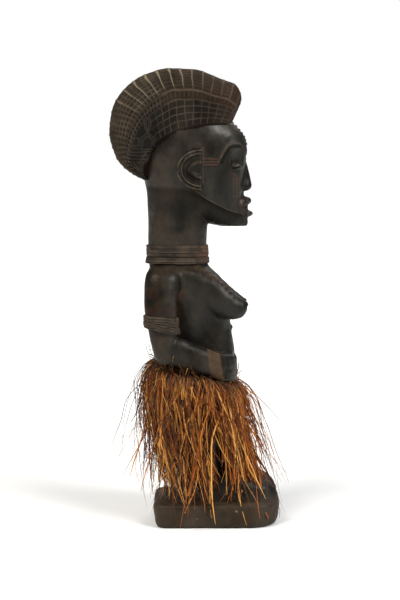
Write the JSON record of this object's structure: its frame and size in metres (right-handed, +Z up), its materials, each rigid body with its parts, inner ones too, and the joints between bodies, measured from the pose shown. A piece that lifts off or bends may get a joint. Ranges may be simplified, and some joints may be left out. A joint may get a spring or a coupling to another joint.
{
  "type": "carved fertility figure",
  "caption": "Standing woman carved with a slab base in dark wood, hands on her belly, with a crested coiffure, hide strips at neck and arms and a raffia skirt.",
  "frame": {"origin": "middle of the flat underside of the base", "axes": "+Z up from the base to the crest, the figure faces -Y, its right hand is at -X"},
  "size_m": [0.1634, 0.262, 0.6996],
  "materials": {
    "dark_wood": "dark handled patina",
    "hide": "dry matte",
    "raffia": "dry fibre"
  },
  "bodies": {
    "root": {"figure": "dark_wood", "neck_strip": "hide", "neck_lap": "hide", "armband_right": "hide", "armband_left": "hide", "skirt_cord": "raffia", "raffia_skirt": "raffia"}
  },
  "joints": []
}
